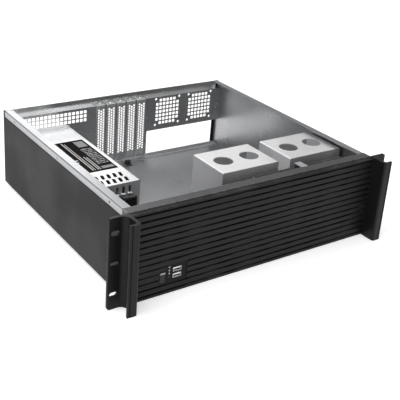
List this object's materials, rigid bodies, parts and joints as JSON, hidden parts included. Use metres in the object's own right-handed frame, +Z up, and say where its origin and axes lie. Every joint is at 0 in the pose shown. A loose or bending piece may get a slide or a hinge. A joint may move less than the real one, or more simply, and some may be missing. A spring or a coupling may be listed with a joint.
{
  "type": "rackmount server case",
  "caption": "Shallow steel rack case with its top off: ribbed front with handle ears, drive cages, front fans, power supply and a vented rear wall.",
  "frame": {"origin": "centre of the six rack slots, on the rear face of the ears", "axes": "+X right seen from the front, +Y from the front to the back, +Z up"},
  "size_m": [0.4826, 0.438, 0.1324],
  "materials": {
    "galvanised": "dull galvanised sheet",
    "black_paint": "fine matt black powder coat",
    "black_anodised": "black anodised extrusion",
    "screw_steel": "bright zinc",
    "black_plastic": "moulded, fine texture",
    "clear_plastic": "clear moulded light pipe",
    "nickel": "nickel plate",
    "white_plastic": "white moulding",
    "circuit_board": "green solder mask",
    "label": "printed film",
    "plain_aluminium": "plain",
    "winding": "tape and sleeve"
  },
  "bodies": {
    "chassis": {"base_tray": "galvanised", "board_screws": "screw_steel", "board_spacers": "screw_steel", "button_switches": "black_plastic", "cable_clip": "black_plastic", "control_bezel": "black_plastic", "control_board": "circuit_board", "drive_cage_left": "galvanised", "drive_cage_right": "galvanised", "ear_left": "black_anodised", "ear_right": "black_anodised", "ear_screws": "screw_steel", "fan_frame_left": "black_plastic", "fan_frame_right": "black_plastic", "fan_post": "galvanised", "floor_screws": "screw_steel", "front_fan_screws": "screw_steel", "front_panel": "black_anodised", "front_sheet": "galvanised", "indicator_lenses": "clear_plastic", "psu_base": "galvanised", "psu_board": "circuit_board", "psu_bracket": "galvanised", "psu_capacitors": "winding", "psu_cover": "galvanised", "psu_fan_frame": "black_plastic", "psu_fan_guard": "nickel", "psu_fan_screws": "screw_steel", "psu_heatsinks": "plain_aluminium", "psu_inlet": "black_plastic", "psu_inlet_pins": "nickel", "psu_label": "label", "psu_screws": "screw_steel", "psu_socket_block": "black_plastic", "psu_switch_frame": "black_plastic", "psu_transformer": "winding", "rear_panel": "galvanised", "side_skin_left": "black_paint", "side_skin_right": "black_paint", "slot_cover_1": "galvanised", "slot_cover_2": "galvanised", "slot_cover_3": "galvanised", "slot_cover_4": "galvanised", "slot_cover_5": "galvanised", "slot_screws": "screw_steel", "usb_shell_lower": "nickel", "usb_shell_upper": "nickel", "usb_tongue_lower": "white_plastic", "usb_tongue_upper": "white_plastic"},
    "fan_left": {"fan_rotor_left": "black_plastic"},
    "fan_right": {"fan_rotor_right": "black_plastic"},
    "psu_fan": {"psu_fan_rotor": "black_plastic"},
    "power_button": {"power_button": "black_plastic", "power_light_bar": "clear_plastic"},
    "reset_button": {"reset_button": "black_plastic"},
    "psu_switch": {"psu_rocker": "black_plastic"}
  },
  "joints": [
    {"name": "front_fan_left_spin", "type": "hinge", "parent": "chassis", "child": "fan_left", "pos_m": [0.045, 0.015, 0.02175], "axis": [0, 1, 0], "continuous": true},
    {"name": "front_fan_right_spin", "type": "hinge", "parent": "chassis", "child": "fan_right", "pos_m": [0.139, 0.015, 0.02175], "axis": [0, 1, 0], "continuous": true},
    {"name": "psu_fan_spin", "type": "hinge", "parent": "chassis", "child": "psu_fan", "pos_m": [-0.136, 0.38, -0.01815], "axis": [0, 1, 0], "continuous": true},
    {"name": "power_button_press", "type": "slide", "parent": "chassis", "child": "power_button", "axis": [0, 1, 0], "range_m": [0, 0.0015], "stiffness_N_per_m": 200, "springref_m": -0.001},
    {"name": "reset_button_press", "type": "slide", "parent": "chassis", "child": "reset_button", "axis": [0, 1, 0], "range_m": [0, 0.001], "stiffness_N_per_m": 150, "springref_m": -0.001},
    {"name": "psu_switch_rock", "type": "hinge", "parent": "chassis", "child": "psu_switch", "pos_m": [-0.187, 0.391, -0.00005], "axis": [1, 0, 0], "range_deg": [0, 16]}
  ]
}
